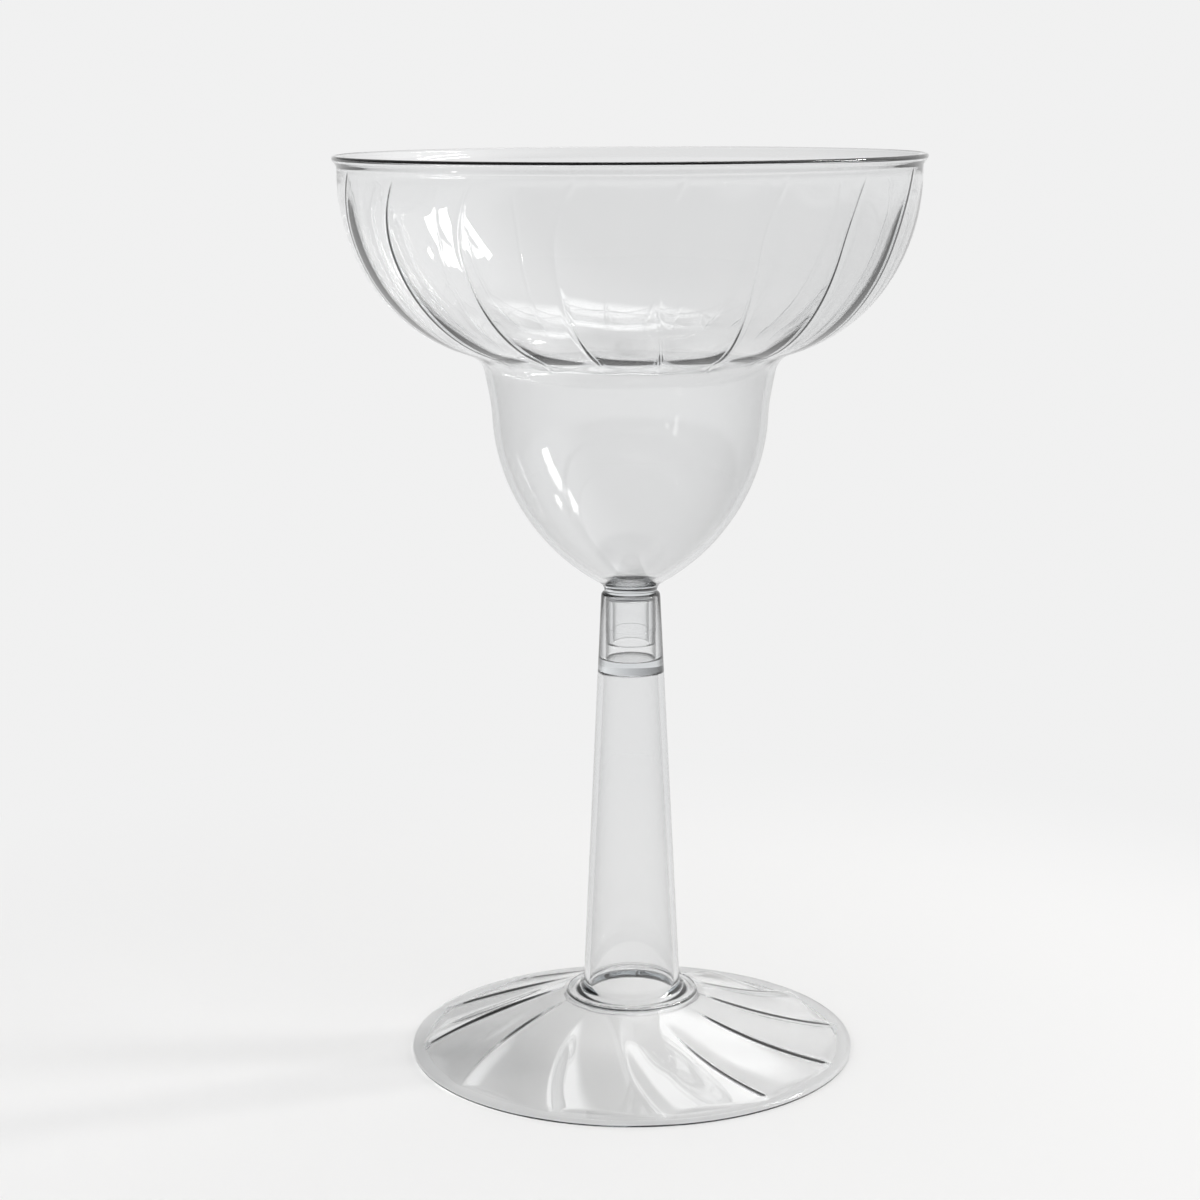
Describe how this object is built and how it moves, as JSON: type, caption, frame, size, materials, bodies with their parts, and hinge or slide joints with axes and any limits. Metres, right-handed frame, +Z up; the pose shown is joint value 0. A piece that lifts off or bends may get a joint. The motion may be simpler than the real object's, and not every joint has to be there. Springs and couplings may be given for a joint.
{
  "type": "margarita glass",
  "caption": "Clear moulded margarita glass: fluted wide bowl over a round well, plugged into a hollow tapered stem with a swirled conical foot.",
  "frame": {"origin": "centre of the foot, on the plane of the table that the glass stands on", "axes": "+Z up along the stem to the lip; -Y towards the viewer of the picture, +X to the viewer's right"},
  "size_m": [0.1142, 0.1142, 0.1804],
  "materials": {
    "clear_bowl": "clear polished polystyrene",
    "clear_stem": "clear polished polystyrene"
  },
  "bodies": {
    "stem_and_foot": {"stem_and_foot": "clear_stem"},
    "bowl": {"bowl": "clear_bowl"}
  },
  "joints": [
    {"name": "bowl_pull", "type": "slide", "parent": "stem_and_foot", "child": "bowl", "axis": [0, 0, 1], "range_m": [0, 0.012]}
  ]
}
